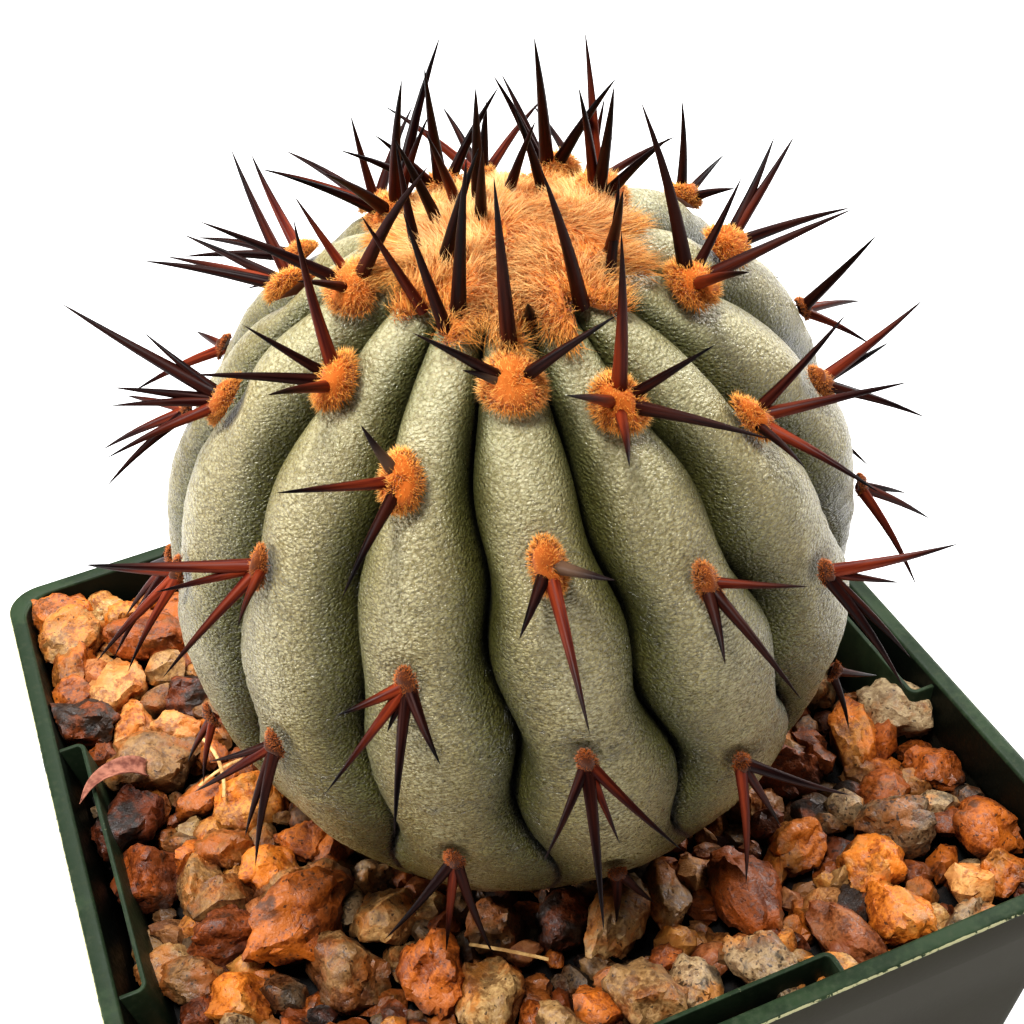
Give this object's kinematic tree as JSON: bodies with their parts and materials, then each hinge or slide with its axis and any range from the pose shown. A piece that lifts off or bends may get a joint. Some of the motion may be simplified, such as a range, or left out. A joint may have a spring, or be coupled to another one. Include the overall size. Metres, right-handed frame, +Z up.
{
  "type": "potted cactus",
  "caption": "Leaning, ribbed globe cactus with a woolly crown and dark spines, in a square plastic nursery pot topped with gravel.",
  "frame": {"origin": "middle of the pot's flat underside", "axes": "+Z up; the pot's sides lie along X and Y; the plant leans towards -Y, the viewer's side"},
  "size_m": [0.1018, 0.1021, 0.1755],
  "materials": {
    "pot_plastic": "dark green moulded plastic, worn pale along the rim",
    "potting_soil": "rough dark potting mix",
    "granite_gravel": "rough decomposed granite chips, orange, rust, cream and grey",
    "waxy_skin": "chalky grey-green wax over olive skin, satin",
    "areole_wool": "orange felt, its spines near-black",
    "spine_horn": "dark red-brown to black horn, satin"
  },
  "bodies": {
    "root": {"areole_00_b": "areole_wool", "areole_00_c": "areole_wool", "areole_00_d": "areole_wool", "areole_01_a": "areole_wool", "areole_01_b": "areole_wool", "areole_01_c": "areole_wool", "areole_02_a": "areole_wool", "areole_02_b": "areole_wool", "areole_02_c": "areole_wool", "areole_03_a": "areole_wool", "areole_03_b": "areole_wool", "areole_03_c": "areole_wool", "areole_04_a": "areole_wool", "areole_04_b": "areole_wool", "areole_04_c": "areole_wool", "areole_05_b": "areole_wool", "areole_05_c": "areole_wool", "areole_05_d": "areole_wool", "areole_06_b": "areole_wool", "areole_06_c": "areole_wool", "areole_07_a": "areole_wool", "areole_07_b": "areole_wool", "areole_07_c": "areole_wool", "areole_08_b": "areole_wool", "areole_08_c": "areole_wool", "areole_08_d": "areole_wool", "areole_09_b": "areole_wool", "areole_09_c": "areole_wool", "areole_09_d": "areole_wool", "areole_10_a": "areole_wool", "areole_10_b": "areole_wool", "areole_10_c": "areole_wool", "areole_11_b": "areole_wool", "areole_11_c": "areole_wool", "areole_11_d": "areole_wool", "areole_12_a": "areole_wool", "areole_12_b": "areole_wool", "areole_12_c": "areole_wool", "areole_13_a": "areole_wool", "areole_13_b": "areole_wool", "areole_13_c": "areole_wool", "crown_wool": "areole_wool", "gravel": "granite_gravel", "pot": "pot_plastic", "soil": "potting_soil", "stem": "waxy_skin"}
  },
  "joints": []
}
